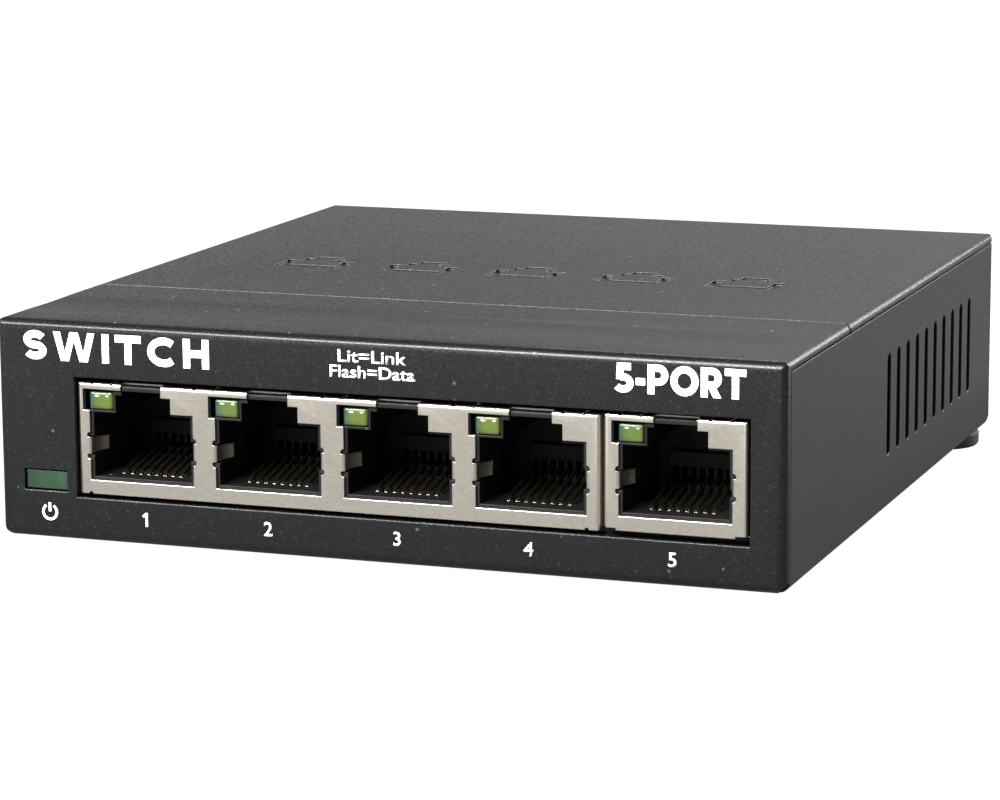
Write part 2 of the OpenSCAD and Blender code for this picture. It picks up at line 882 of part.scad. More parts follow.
// A round mark in a square recess is moulded in the back of the single socket
module single_jack_housing() {
    mark = [single_x - 2.6, cavity_back, mouth_bottom + 6.4];
    color("#17171a") in_case()
        at_height(port_count) {
            difference() {
                jack_housing(single_x, single_w, [port_count]);
                translate(mark)
                    cube([1.2, 0.4, 1.2], center = true);
            }
            translate(mark + [0, 0.15, 0])
                rotate([90, 0, 0])
                    cylinder(r = 0.35, h = 0.2, center = true);
        }
}

// A contact wire comes up from the board, runs forward under the floor, folds over and slopes to the comb
module port_contacts(i) {
    under = channel_top - 0.3;
    fold_y = housing_front + 2.6;
    path = [
        [tail_y, tail_low], [tail_y, under - 0.25], [tail_y - 0.25, under],
        [fold_y + 0.4, under], [fold_y, under + 0.4], [fold_y, floor_z - 0.05], [fold_y + 0.5, floor_z + 0.4],
        [cavity_back - 1.6, floor_z + 2.2], [cavity_back + 0.3, floor_z + 2.6]];
    color("goldenrod") in_case()
        at_height(i)
            for (k = [0 : wire_count - 1])
                along_x([wire_x(i, k) - wire_w / 2, wire_x(i, k) + wire_w / 2])
                    polygon(ribbon(path, wire_t));
}

module port_led(i) {
    right = port_x(i) + led_right;
    chamfer = 0.25;
    color("#7fae5a") in_case()
        at_height(i)
            along_z([led_low, led_low + led_h])
                polygon([
                    [right - led_w, led_back], [right - led_w, housing_front + chamfer],
                    [right - led_w + chamfer, housing_front], [right - chamfer, housing_front],
                    [right, housing_front + chamfer], [right, led_back]]);
}

module led_leads() {
    path = [[led_back, led_low + 1.2], [lead_y - 0.3, led_low + 1.2], [lead_y, led_low + 0.9], [lead_y, tail_low]];
    color("silver") in_case()
        for (i = [1 : port_count], x = lead_xs(i))
            at_height(i)
                along_x([x - lead_t / 2, x + lead_t / 2])
                    polygon(ribbon(path, lead_t));
}

module power_lens() {
    face_y = 0.3;
    half = lens_w / 2;
    color("#2f5b3c") in_case() {
        block([lens_x - half, lens_x + half], [face_y, lens_back], [lens_low, lens_low + lens_h]);
        block(
            [lens_x - half - 0.5, lens_x + half + 0.5],
            [sheet + 0.05, sheet + 1],
            [lens_low, lens_low + lens_h + 0.6]);
        block([lens_x - half, lens_x + half], [lens_back - 1.6, lens_back], [board_top, lens_low + 0.1]);
    }
}

module power_led() {
    half = 1.6;
    color("whitesmoke") in_case()
        block(
            [lens_x - half, lens_x + half],
            [lens_back + 0.1, lens_back + 1.7],
            [board_top, board_top + 1.9]);
}

inlet_lug_ys = [inlet_front + 0.9, inlet_front + 6.6];

module inlet_housing() {
    half = inlet_w / 2;
    color("#141416") in_case()
        difference() {
            block(
                [inlet_x - half, inlet_x + half],
                [inlet_front, inlet_back],
                [board_top, board_top + inlet_h]);
            translate([inlet_x, inlet_back + cut, inlet_z])
                rotate([90, 0, 0])
                    cylinder(r = inlet_r, h = inlet_bore_d + cut);
            block([inlet_x - 1.2, inlet_x + 1.2], [inlet_front - cut, inlet_front + 1.4], [board_top - cut, inlet_z + 1.4]);
            translate([inlet_x, inlet_back - inlet_bore_d + cut, inlet_z])
                rotate([90, 0, 0])
                    cylinder(r = pin_r + 0.05, h = inlet_d);
            block(
                [inlet_x - 1.4, inlet_x + 1.4],
                [inlet_lug_ys[1] - 0.6, inlet_back - 2.5],
                [board_top - cut, inlet_z - inlet_r + 0.6]);
        }
}

module inlet_pin() {
    lug_t = 0.5;
    color("silver") in_case() {
        translate([inlet_x, inlet_back - 1.2, inlet_z])
            rotate([90, 0, 0])
                cylinder(r = pin_r, h = inlet_d - 2.1);
        block(
            [inlet_x - 1, inlet_x + 1],
            [inlet_lug_ys[0] - lug_t / 2, inlet_lug_ys[0] + lug_t / 2],
            [tail_low, inlet_z + 1.2]);
    }
}

module inlet_spring() {
    y = inlet_lug_ys[1];
    path = [
        [y, tail_low], [y, board_top + 0.7], [y + 0.5, board_top + 1.2],
        [inlet_back - 4.6, inlet_z - inlet_r + 0.35], [inlet_back - 3, inlet_z - inlet_r - 0.4]];
    color("silver") in_case()
        along_x([inlet_x - 1, inlet_x + 1])
            polygon(ribbon(path, 0.3));
}

// Chip with gull-wing pins along its edges
chip_w = 14;
chip_y = 58;

module gull_pin(reach, rise) {
    along_x([-0.12, 0.12])
        polygon(ribbon([[0, rise], [reach * 0.35, rise], [reach * 0.6, 0.1], [reach, 0.1]], 0.18));
}

module switch_chip() {
    color("#202124") in_case()
        block([-chip_w / 2, chip_w / 2], [chip_y - chip_w / 2, chip_y + chip_w / 2], [board_top + 0.1, board_top + 1.5]);
}

module switch_chip_pins() {
    pins = 24;
    pitch = 0.5;
    color("silver") in_case()
        translate([0, chip_y, board_top])
            for (turn = [0 : 90 : 270], k = [0 : pins - 1])
                rotate([0, 0, turn])
                    translate([(k - (pins - 1) / 2) * pitch, chip_w / 2, 0])
                        gull_pin(1.2, 0.7);
}

// One transformer stands behind each socket
transformer_w = 12.6;
transformer_l = 9.4;
transformer_y = jack_back + 9;
transformer_pin_count = 12;
transformer_pin_pitch = 1;

module transformer(i) {
    x = port_x(i);
    color("#1b1b1d") in_case()
        block(
            [x - transformer_w / 2, x + transformer_w / 2],
            [transformer_y - transformer_l / 2, transformer_y + transformer_l / 2],
            [board_top + 0.25, board_top + 5.6]);
}

module transformer_pins() {
    color("silver") in_case()
        for (i = [1 : port_count], turn = [0, 180], k = [0 : transformer_pin_count - 1])
            translate([port_x(i), transformer_y, board_top])
                rotate([0, 0, turn])
                    translate([(k - (transformer_pin_count - 1) / 2) * transformer_pin_pitch, transformer_l / 2, 0])
                        gull_pin(1.3, 0.9);
}

module crystal_can() {
    w = 11;
    d = 4.6;
    color("silver") in_case()
        translate([20, chip_y - 4, board_top])
            along_z([0, 3.5]) {
                square([w - d, d], center = true);
                for (side = [-1, 1])
                    translate([side * (w - d) / 2, 0])
                        circle(d = d);
            }
}

module small_chip(x, y, w, l, h) {
    color("#202124") in_case()
        block([x - w / 2, x + w / 2], [y - l / 2, y + l / 2], [board_top, board_top + h]);
}

module memory_chip() {
    small_chip(-20, chip_y, 5, 4, 1.5);
}

module regulator_chip() {
    small_chip(8, case_d - 19, 6.5, 3.5, 1.6);
}

module power_inductor() {
    color("#4a4a4d") in_case()
        translate([22, case_d - 19, board_top]) {
            cylinder(r = 3.6, h = 0.8);
            cylinder(r = 2.4, h = 4.2);
            translate([0, 0, 3.4])
                cylinder(r = 3.6, h = 0.8);
        }
}

module can_capacitor(x, y, r, h) {
    color("#3d4a66") in_case()
        translate([x, y, board_top])
            difference() {
                cylinder(r = r, h = h);
                translate([0, 0, 0.9])
                    difference() {
                        cylinder(r = r + cut, h = 0.5);
                        translate([0, 0, -cut])
                            cylinder(r = r - 0.25, h = 3 * cut);
                    }
            }
}

module input_capacitor() {
    can_capacitor(-30, case_d - 19, 4, 11);
}

module output_capacitor() {
    can_capacitor(32, case_d - 19, 3.15, 7);
}

module input_fuse() {
    small_chip(-4, case_d - 12, 4.5, 3.2, 1.2);
}

module input_diode() {
    small_chip(-4, case_d - 19, 4.3, 3.6, 2.2);
}

// Small chip parts in rows: one group beside the big chip, one behind each transformer
module chip_row(x, y, count, pitch, size) {
    for (k = [0 : count - 1])
        translate([x + (k - (count - 1) / 2) * pitch - size[0] / 2, y - size[1] / 2, board_top])
            cube(size);
}

module ceramic_capacitors() {
    part_size = [0.8, 1.6, 0.8];
    color("#b08d5b") in_case() {
        chip_row(0, chip_y - chip_w / 2 - 4, 8, 1.8, part_size);
        chip_row(0, chip_y + chip_w / 2 + 4, 8, 1.8, part_size);
        chip_row(9, case_d - 12, 3, 2.4, [1.3, 2, 1.2]);
    }
}

module chip_resistors() {
    part_size = [0.8, 1.6, 0.5];
    color("#15151a") in_case()
        for (i = [1 : port_count])
            chip_row(port_x(i), transformer_y + transformer_l / 2 + 4, 4, 1.8, part_size);
}

// Domed rubber foot under a corner of the case
module foot(x, y) {
    edge = 0.6;
    color("#1a1a1a") in_case()
        translate([x, y, -foot_h])
            rotate_extrude()
                polygon(concat(
                    [[0, 0], [foot_r - edge, 0]],
                    arc([foot_r - edge, edge], edge, 300, 360, 3),
                    [[foot_r, foot_h - 0.3], [foot_r - 0.3, foot_h], [0, foot_h]]));
}

rear_foot_x = half_w - rear_foot_inset;
rear_foot_y = case_d - rear_foot_inset;
front_foot_x = half_w - front_foot_inset;

base_chassis();
front_panel();
top_cover();
rear_panel();
case_screws();
main_board();
board_standoffs();
board_screws();
gang_jack_shield();
gang_jack_housing();
single_jack_shield();
single_jack_housing();
for (i = [1 : port_count]) {
    port_contacts(i);
    port_led(i);
    transformer(i);
}
led_leads();
power_lens();
power_led();
inlet_housing();
inlet_pin();
inlet_spring();
switch_chip();
switch_chip_pins();
transformer_pins();
crystal_can();
memory_chip();
regulator_chip();
power_inductor();
input_capacitor();
output_capacitor();
input_fuse();
input_diode();
ceramic_capacitors();
chip_resistors();
foot(-front_foot_x, front_foot_y);  // front_left_foot
foot(front_foot_x, front_foot_y);  // front_right_foot
foot(-rear_foot_x, rear_foot_y);  // rear_left_foot
foot(rear_foot_x, rear_foot_y);  // rear_right_foot
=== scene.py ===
import json
import math
import bmesh
import bpy
from mathutils import Matrix, Vector


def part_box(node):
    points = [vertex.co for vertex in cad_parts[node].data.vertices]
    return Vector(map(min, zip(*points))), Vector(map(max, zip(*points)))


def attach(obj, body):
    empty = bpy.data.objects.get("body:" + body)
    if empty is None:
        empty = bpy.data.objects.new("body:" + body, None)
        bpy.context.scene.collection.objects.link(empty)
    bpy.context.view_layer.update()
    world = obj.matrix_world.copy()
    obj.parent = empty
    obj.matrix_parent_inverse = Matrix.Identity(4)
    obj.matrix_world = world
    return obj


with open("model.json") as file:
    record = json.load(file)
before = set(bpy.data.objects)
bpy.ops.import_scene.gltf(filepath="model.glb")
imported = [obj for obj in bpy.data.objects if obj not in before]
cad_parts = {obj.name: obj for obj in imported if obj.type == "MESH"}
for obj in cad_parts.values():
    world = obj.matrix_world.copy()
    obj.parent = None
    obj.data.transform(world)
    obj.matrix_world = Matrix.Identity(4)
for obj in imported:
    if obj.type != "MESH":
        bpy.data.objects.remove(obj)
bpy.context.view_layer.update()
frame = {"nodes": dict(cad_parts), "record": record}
nodes = frame["nodes"]
mm = 0.001
print("frame loaded:", len(nodes), "nodes")

cameraSetup = {
    "place": (0.148149, -0.418633, 0.096242),
    "turnLeft": 19.957,   # degrees away from straight back
    "tipDown": 10.8,
    "roll": -0.3435,
    "lens": 131.388,
    "sensor": 36.0,
    "nearest": 0.01,      # metres; nothing nearer or farther is drawn
    "farthest": 20,
}


def makeCamera(setup):
    turn = math.radians(setup["turnLeft"])
    tip = math.radians(setup["tipDown"])
    roll = math.radians(setup["roll"])
    level = math.cos(tip)
    ahead = Vector((-math.sin(turn) * level, math.cos(turn) * level, -math.sin(tip)))
    flat = Vector((math.cos(turn), math.sin(turn), 0))
    up = flat.cross(ahead)
    right = flat * math.cos(roll) + up * math.sin(roll)
    top = up * math.cos(roll) - flat * math.sin(roll)
    data = bpy.data.cameras.new("camera")
    data.lens = setup["lens"]
    data.sensor_width = setup["sensor"]
    data.clip_start = setup["nearest"]
    data.clip_end = setup["farthest"]
    camera = bpy.data.objects.new("camera", data)
    bpy.context.scene.collection.objects.link(camera)
    turned = Matrix((right, top, -ahead)).transposed().to_4x4()
    camera.matrix_world = Matrix.Translation(setup["place"]) @ turned
    bpy.context.scene.camera = camera


makeCamera(cameraSetup)
print("camera set")


def addNode(tree, kind, links=None, **settings):
    # links: input name or index -> an output socket, or a plain value
    node = tree.nodes.new("ShaderNode" + kind)
    for key, value in settings.items():
        setattr(node, key, value)
    for key, value in (links or {}).items():
        if isinstance(value, bpy.types.NodeSocket):
            tree.links.new(value, node.inputs[key])
        else:
            node.inputs[key].default_value = value
    return node


def math2(tree, operation, a, b):
    return addNode(tree, "Math", {0: a, 1: b}, operation=operation).outputs[0]


def spread(tree, value, fromRange, toRange=(0.0, 1.0)):
    # maps one range of values onto another and stops at both ends
    links = {
        "Value": value, "From Min": fromRange[0], "From Max": fromRange[1],
        "To Min": toRange[0], "To Max": toRange[1],
    }
    return addNode(tree, "MapRange", links).outputs["Result"]


studio = {
    "floorSize": 6.0,
    "floorDrop": 0.02,                    # mm that the floor lies below the feet
    "floorColor": (0.07, 0.07, 0.07, 1),
    "floorRoughness": 0.95,
    "tableSeen": 1.0,                     # the floor is a lit table, seen as plain white
    "tableGlow": 0.22,                    # the light that it gives to the object
    "skyLow": (0.55, 0.56, 0.585, 1),     # level with the table
    "skyHigh": (0.07, 0.07, 0.075, 1),    # overhead
    "skyBand": (0.12, 0.7),               # between these heights one fades into the other
    "lights": [
        # name, place, aim, size x and y, power in watts
        ("frontSoftbox", (-0.35, -0.75, 0.62), (0.0, 0.0, 0.02), (0.80, 0.16), 50.0),
        ("rightStrip", (0.85, 0.15, 0.75), (0.0, 0.0, 0.02), (0.20, 0.7), 2.0),
        ("backSoftbox", (0.1, 0.9, 0.75), (0.0, 0.0, 0.0), (0.8, 0.35), 2.6),
        ("rearFill", (0.75, 0.95, 0.40), (0.0, 0.0, 0.02), (0.6, 0.4), 18.0),
    ],
}


def makeSky(setup):
    # pale at the table's level, darker overhead
    world = bpy.data.worlds.new("studioWorld")
    world.use_nodes = True
    tree = world.node_tree
    toward = addNode(tree, "TexCoord").outputs["Generated"]
    height = addNode(tree, "SeparateXYZ", {"Vector": toward}).outputs["Z"]
    ramp = addNode(tree, "ValToRGB", {"Fac": height})
    colors = (setup["skyLow"], setup["skyHigh"])
    for stop, position, color in zip(ramp.color_ramp.elements, setup["skyBand"], colors):
        stop.position = position
        stop.color = color
    tree.links.new(ramp.outputs["Color"], tree.nodes["Background"].inputs["Color"])
    bpy.context.scene.world = world


def makeFloor(setup):
    half = setup["floorSize"] / 2
    low = -setup["floorDrop"] * mm
    corners = [(-half, -half, low), (half, -half, low), (half, half, low), (-half, half, low)]
    mesh = bpy.data.meshes.new("floor")
    mesh.from_pydata(corners, [], [(0, 1, 2, 3)])
    floor = bpy.data.objects.new("floor", mesh)
    bpy.context.scene.collection.objects.link(floor)
    paper = bpy.data.materials.new("floorPaper")
    paper.use_nodes = True
    tree = paper.node_tree
    shader = tree.nodes["Principled BSDF"]
    shader.inputs["Base Color"].default_value = setup["floorColor"]
    shader.inputs["Roughness"].default_value = setup["floorRoughness"]
    shader.inputs["Specular IOR Level"].default_value = 0.0
    shader.inputs["Emission Color"].default_value = (1, 1, 1, 1)
    seen = addNode(tree, "LightPath").outputs["Is Camera Ray"]
    paintedGlow = spread(tree, seen, (0.0, 1.0), (setup["tableGlow"], setup["tableSeen"]))
    tree.links.new(paintedGlow, shader.inputs["Emission Strength"])
    below = addNode(tree, "NewGeometry").outputs["Backfacing"]
    opaque = math2(tree, "SUBTRACT", 1.0, below)   # clear from below, to show the underside
    tree.links.new(opaque, shader.inputs["Alpha"])
    mesh.materials.append(paper)


def placeLights(setup):
    for name, place, aim, size, power in setup["lights"]:
        data = bpy.data.lights.new(name, "AREA")
        data.shape = "RECTANGLE"
        data.size, data.size_y = size
        data.energy = power
        lamp = bpy.data.objects.new(name, data)
        bpy.context.scene.collection.objects.link(lamp)
        lamp.location = place
        lamp.rotation_euler = (Vector(aim) - Vector(place)).to_track_quat("-Z", "Y").to_euler()


bpy.context.scene.view_settings.view_transform = "Standard"
makeSky(studio)
makeFloor(studio)
placeLights(studio)
print("studio set")


def newGroup(name, inputs, outputs):
    tree = bpy.data.node_groups.new(name, "ShaderNodeTree")
    for label, kind, value in inputs:
        socket = tree.interface.new_socket(
            name=label, in_out="INPUT", socket_type="NodeSocket" + kind)
        if value is not None:
            socket.default_value = value
    for label, kind in outputs:
        tree.interface.new_socket(
            name=label, in_out="OUTPUT", socket_type="NodeSocket" + kind)
    return tree, tree.nodes.new("NodeGroupInput"), tree.nodes.new("NodeGroupOutput")


powderPattern = {
    "grainPerMetre": 3000.0,
    "pimpleScale": 0.8,            # pimples for each grain
    "pimpleReach": 0.85,           # how wide each one is, in cells
    "pimpleHeight": 0.6,
    "fleckRange": (0.60, 0.74),    # grain heights at which a fleck starts and is full
    "toneRange": (0.1, 0.7),
}


def makePowderGrain(look):
    # fine orange-peel texture of a baked powder coat, with pimples that stand a little higher
    inputs = [("Position", "Vector", None), ("Grain Per Metre", "Float", look["grainPerMetre"])]
    outputs = [("Height", "Float"), ("Fleck", "Float"), ("Tone", "Float")]
    tree, start, end = newGroup("powderGrain", inputs, outputs)
    position = start.outputs["Position"]
    grainScale = start.outputs["Grain Per Metre"]
    links = {"Vector": position, "Scale": grainScale, "Detail": 3.0, "Roughness": 0.6}
    grain = addNode(tree, "TexNoise", links).outputs["Fac"]
    pimpleScale = math2(tree, "MULTIPLY", grainScale, look["pimpleScale"])
    links = {"Vector": position, "Scale": pimpleScale, "Smoothness": 0.4}
    cells = addNode(tree, "TexVoronoi", links, feature="SMOOTH_F1").outputs["Distance"]
    pimples = spread(tree, cells, (0.0, look["pimpleReach"]), (look["pimpleHeight"], 0.0))
    tree.links.new(math2(tree, "ADD", grain, pimples), end.inputs["Height"])
    tree.links.new(spread(tree, grain, look["fleckRange"]), end.inputs["Fleck"])
    tree.links.new(spread(tree, cells, look["toneRange"]), end.inputs["Tone"])
    return tree


def makeSoftEdge():
    # rounds the shading of every edge, as a thick coat or a blanked sheet does
    tree, start, end = newGroup("softEdge", [("Radius", "Float", 0.0002)], [("Normal", "Vector")])
    rounded = addNode(tree, "Bevel", {"Radius": start.outputs["Radius"]}, samples=6)
    tree.links.new(rounded.outputs["Normal"], end.inputs["Normal"])
    return tree


wearPattern = {
    "bend": (0.985, 0.86),         # cosines of the edge's turn where wear starts and is full
    "patchesPerMetre": 900.0,
    "patchRange": (0.35, 0.65),
}


def makeEdgeWear(look):
    # 1 along outer edges, broken up, 0 on the flats
    inputs = [
        ("Position", "Vector", None), ("Width", "Float", 0.0002), ("Patchiness", "Float", 0.5),
    ]
    tree, start, end = newGroup("edgeWear", inputs, [("Mask", "Float")])
    rounded = addNode(tree, "Bevel", {"Radius": start.outputs["Width"]}, samples=4)
    geometry = addNode(tree, "NewGeometry")
    links = {0: rounded.outputs["Normal"], 1: geometry.outputs["Normal"]}
    facing = addNode(tree, "VectorMath", links, operation="DOT_PRODUCT").outputs["Value"]
    edge = spread(tree, facing, look["bend"])
    links = {
        "Vector": start.outputs["Position"], "Scale": look["patchesPerMetre"], "Detail": 3.0,
    }
    patches = addNode(tree, "TexNoise", links).outputs["Fac"]
    broken = spread(tree, patches, look["patchRange"])
    even = math2(tree, "SUBTRACT", 1.0, start.outputs["Patchiness"])
    share = math2(tree, "MAXIMUM", broken, even)
    tree.links.new(math2(tree, "MULTIPLY", edge, share), end.inputs["Mask"])
    return tree


dustPattern = {
    "specksPerMetre": 650.0,
    "speckSize": (0.16, 0.04),     # in cells: the rim of a speck and its solid middle
    "cleanShare": 0.93,            # the share of the cells that hold no speck
    "upward": (-0.2, 0.8),         # slopes with the least and the most dust
    "leastDust": 0.25,
}


def makeDust(look):
    # sparse pale specks, mostly on surfaces that face up
    inputs = [
        ("Position", "Vector", None),
        ("Specks Per Metre", "Float", look["specksPerMetre"]),
        ("Amount", "Float", 0.5),
    ]
    tree, start, end = newGroup("dust", inputs, [("Mask", "Float")])
    links = {
        "Vector": start.outputs["Position"], "Scale": start.outputs["Specks Per Metre"],
        "Randomness": 1.0,
    }
    cells = addNode(tree, "TexVoronoi", links)
    speck = spread(tree, cells.outputs["Distance"], look["speckSize"])
    chosen = addNode(tree, "SeparateColor", {"Color": cells.outputs["Color"]}).outputs["Red"]
    rare = math2(tree, "GREATER_THAN", chosen, look["cleanShare"])
    normal = addNode(tree, "NewGeometry").outputs["Normal"]
    slope = addNode(tree, "SeparateXYZ", {"Vector": normal}).outputs["Z"]
    upward = spread(tree, slope, look["upward"], (look["leastDust"], 1.0))
    mask = math2(tree, "MULTIPLY", math2(tree, "MULTIPLY", speck, rare), upward)
    tree.links.new(math2(tree, "MULTIPLY", mask, start.outputs["Amount"]), end.inputs["Mask"])
    return tree


brushedPattern = {
    "linesPerMetre": 9000.0,
    "stretch": (0.04, 1, 1),
    "cloudScale": 0.06,            # the clouds' scale as a share of the lines' scale
}


def makeBrushed(look):
    # long fine lines along one axis, as rolled or drawn metal has
    inputs = [
        ("Position", "Vector", None),
        ("Lines Per Metre", "Float", look["linesPerMetre"]),
        ("Stretch", "Vector", look["stretch"]),
    ]
    tree, start, end = newGroup("brushed", inputs, [("Height", "Float"), ("Streak", "Float")])
    position = start.outputs["Position"]
    lineScale = start.outputs["Lines Per Metre"]
    links = {0: position, 1: start.outputs["Stretch"]}
    stretched = addNode(tree, "VectorMath", links, operation="MULTIPLY").outputs["Vector"]
    links = {"Vector": stretched, "Scale": lineScale, "Detail": 3.0}
    lines = addNode(tree, "TexNoise", links)
    cloudScale = math2(tree, "MULTIPLY", lineScale, look["cloudScale"])
    links = {"Vector": position, "Scale": cloudScale, "Detail": 2.0}
    clouds = addNode(tree, "TexNoise", links)
    tree.links.new(lines.outputs["Fac"], end.inputs["Height"])
    tree.links.new(clouds.outputs["Fac"], end.inputs["Streak"])
    return tree


mouldPattern = {
    "grainPerMetre": 6000.0,
    "flowScale": 0.05,             # the flow marks' scale as a share of the grain's scale
    "flowSwirl": 1.5,
}


def makeMouldedGrain(look):
    # spark-eroded mould finish, with faint flow marks
    inputs = [("Position", "Vector", None), ("Grain Per Metre", "Float", look["grainPerMetre"])]
    outputs = [("Height", "Float"), ("Flow", "Float")]
    tree, start, end = newGroup("mouldedGrain", inputs, outputs)
    position = start.outputs["Position"]
    grainScale = start.outputs["Grain Per Metre"]
    links = {"Vector": position, "Scale": grainScale, "Detail": 2.0}
    grain = addNode(tree, "TexNoise", links)
    flowScale = math2(tree, "MULTIPLY", grainScale, look["flowScale"])
    links = {"Vector": position, "Scale": flowScale, "Distortion": look["flowSwirl"]}
    flow = addNode(tree, "TexNoise", links)
    tree.links.new(grain.outputs["Fac"], end.inputs["Height"])
    tree.links.new(flow.outputs["Fac"], end.inputs["Flow"])
    return tree


effects = {
    "powderGrain": makePowderGrain(powderPattern),
    "softEdge": makeSoftEdge(),
    "edgeWear": makeEdgeWear(wearPattern),
    "dust": makeDust(dustPattern),
    "brushed": makeBrushed(brushedPattern),
    "mouldedGrain": makeMouldedGrain(mouldPattern),
}
print("effects made:", ", ".join(effects))


def startMaterial(name):
    material = bpy.data.materials.new(name)
    material.use_nodes = True
    tree = material.node_tree
    place = addNode(tree, "TexCoord").outputs["Object"]
    return material, tree, tree.nodes["Principled BSDF"], place


def effect(tree, name, place, values=None):
    # places a shared effect in a material, with the material's own values
    return addNode(tree, "Group", {"Position": place, **(values or {})}, node_tree=effects[name])


def mixColors(tree, factor, a, b):
    # inputs 6 and 7 and output 2 of this node are the ones for colours
    return addNode(tree, "Mix", {0: factor, 6: a, 7: b}, data_type="RGBA").outputs[2]


def shade(color):
    return (*color, 1.0)


def tint(tree, mask, share, base, color):
    # lays a colour over the base where the mask is, at a share of its strength
    return mixColors(tree, math2(tree, "MULTIPLY", mask, share), base, shade(color))


def roughen(tree, shader, value, roughness, fromRange=(0.3, 0.7)):
    tree.links.new(spread(tree, value, fromRange, roughness), shader.inputs["Roughness"])


def bump(tree, shader, height, distance, edgeRadius=None):
    # the grain lies on top of the softened edge
    node = addNode(tree, "Bump", {"Height": height, "Distance": distance})
    if edgeRadius:
        soft = addNode(tree, "Group", {"Radius": edgeRadius}, node_tree=effects["softEdge"])
        tree.links.new(soft.outputs["Normal"], node.inputs["Normal"])
    tree.links.new(node.outputs["Normal"], shader.inputs["Normal"])


paintLook = {
    "dark": (0.0020, 0.0021, 0.0023),
    "light": (0.0055, 0.0057, 0.0062),
    "fleck": (0.025, 0.026, 0.027),
    "fleckShare": 0.7,
    "worn": (0.07, 0.07, 0.075),
    "wornShare": 0.3,
    "wear": {"Width": 0.00018, "Patchiness": 0.8},
    "dust": {"Amount": 0.5},
    "dustColor": (0.30, 0.30, 0.29),
    "grainPerMetre": 3000.0,
    "bumpDepth": 0.000012,
    "roughness": (0.26, 0.40),
    "specular": 0.35,
    "edgeRadius": 0.00022,
}


def powderCoat(look):
    material, tree, shader, place = startMaterial("powderCoat")
    grain = effect(tree, "powderGrain", place, {"Grain Per Metre": look["grainPerMetre"]})
    wear = effect(tree, "edgeWear", place, look["wear"])
    specks = effect(tree, "dust", place, look["dust"])
    base = mixColors(tree, grain.outputs["Tone"], shade(look["light"]), shade(look["dark"]))
    flecked = tint(tree, grain.outputs["Fleck"], look["fleckShare"], base, look["fleck"])
    worn = tint(tree, wear.outputs["Mask"], look["wornShare"], flecked, look["worn"])
    dusty = mixColors(tree, specks.outputs["Mask"], worn, shade(look["dustColor"]))
    tree.links.new(dusty, shader.inputs["Base Color"])
    roughen(tree, shader, grain.outputs["Tone"], look["roughness"], (0.1, 0.8))
    shader.inputs["Specular IOR Level"].default_value = look["specular"]
    bump(tree, shader, grain.outputs["Height"], look["bumpDepth"], look["edgeRadius"])
    return material


# stretch is short along the axis that the lines run
metalLooks = {
    "shield_nickel": {
        "color": (0.61, 0.57, 0.495), "stain": (0.585, 0.54, 0.465), "roughness": (0.30, 0.36),
        "stretch": (0.3, 1, 1), "lines": 7000.0, "depth": 0.0000012,
    },
    "tinned": {
        "color": (0.70, 0.70, 0.69), "stain": (0.50, 0.50, 0.49), "roughness": (0.25, 0.45),
        "stretch": (1, 0.1, 0.1), "lines": 12000.0, "depth": 0.000004,
    },
    "can_steel": {
        "color": (0.62, 0.62, 0.62), "stain": (0.50, 0.50, 0.50), "roughness": (0.28, 0.4),
        "stretch": (0.05, 1, 1), "lines": 9000.0, "depth": 0.000005,
    },
    "zinc": {
        "color": (0.60, 0.61, 0.62), "stain": (0.46, 0.47, 0.44), "roughness": (0.30, 0.5),
        "stretch": (1, 1, 0.1), "lines": 7000.0, "depth": 0.000006,
    },
    # contact_gold is kept far darker than gold as painted shade, for the shade deep inside the
    # jacks
    "contact_gold": {
        "color": (0.085, 0.062, 0.032), "stain": (0.05, 0.036, 0.02), "roughness": (0.26, 0.38),
        "stretch": (1, 0.05, 0.05), "lines": 14000.0, "depth": 0.000003,
    },
    "screw_black": {
        "color": (0.09, 0.09, 0.095), "stain": (0.05, 0.05, 0.05), "roughness": (0.30, 0.48),
        "stretch": (1, 1, 0.2), "lines": 8000.0, "depth": 0.000006,
    },
}
metalWear = {
    "wear": {"Width": 0.00012, "Patchiness": 0.4},
    "worn": (0.85, 0.84, 0.82),
    "wornShare": 0.3,
    "stainRange": (0.35, 0.7),
    "stainShare": 0.6,
    "edgeRadius": 0.00012,
}


def rolledMetal(name, look, age):
    material, tree, shader, place = startMaterial(name)
    lineValues = {"Lines Per Metre": look["lines"], "Stretch": look["stretch"]}
    lines = effect(tree, "brushed", place, lineValues)
    wear = effect(tree, "edgeWear", place, age["wear"])
    cloud = spread(tree, lines.outputs["Streak"], age["stainRange"], (0.0, age["stainShare"]))
    base = mixColors(tree, cloud, shade(look["color"]), shade(look["stain"]))
    bright = tint(tree, wear.outputs["Mask"], age["wornShare"], base, age["worn"])
    tree.links.new(bright, shader.inputs["Base Color"])
    shader.inputs["Metallic"].default_value = 1.0
    roughen(tree, shader, lines.outputs["Height"], look["roughness"])
    bump(tree, shader, lines.outputs["Height"], look["depth"], age["edgeRadius"])
    return material


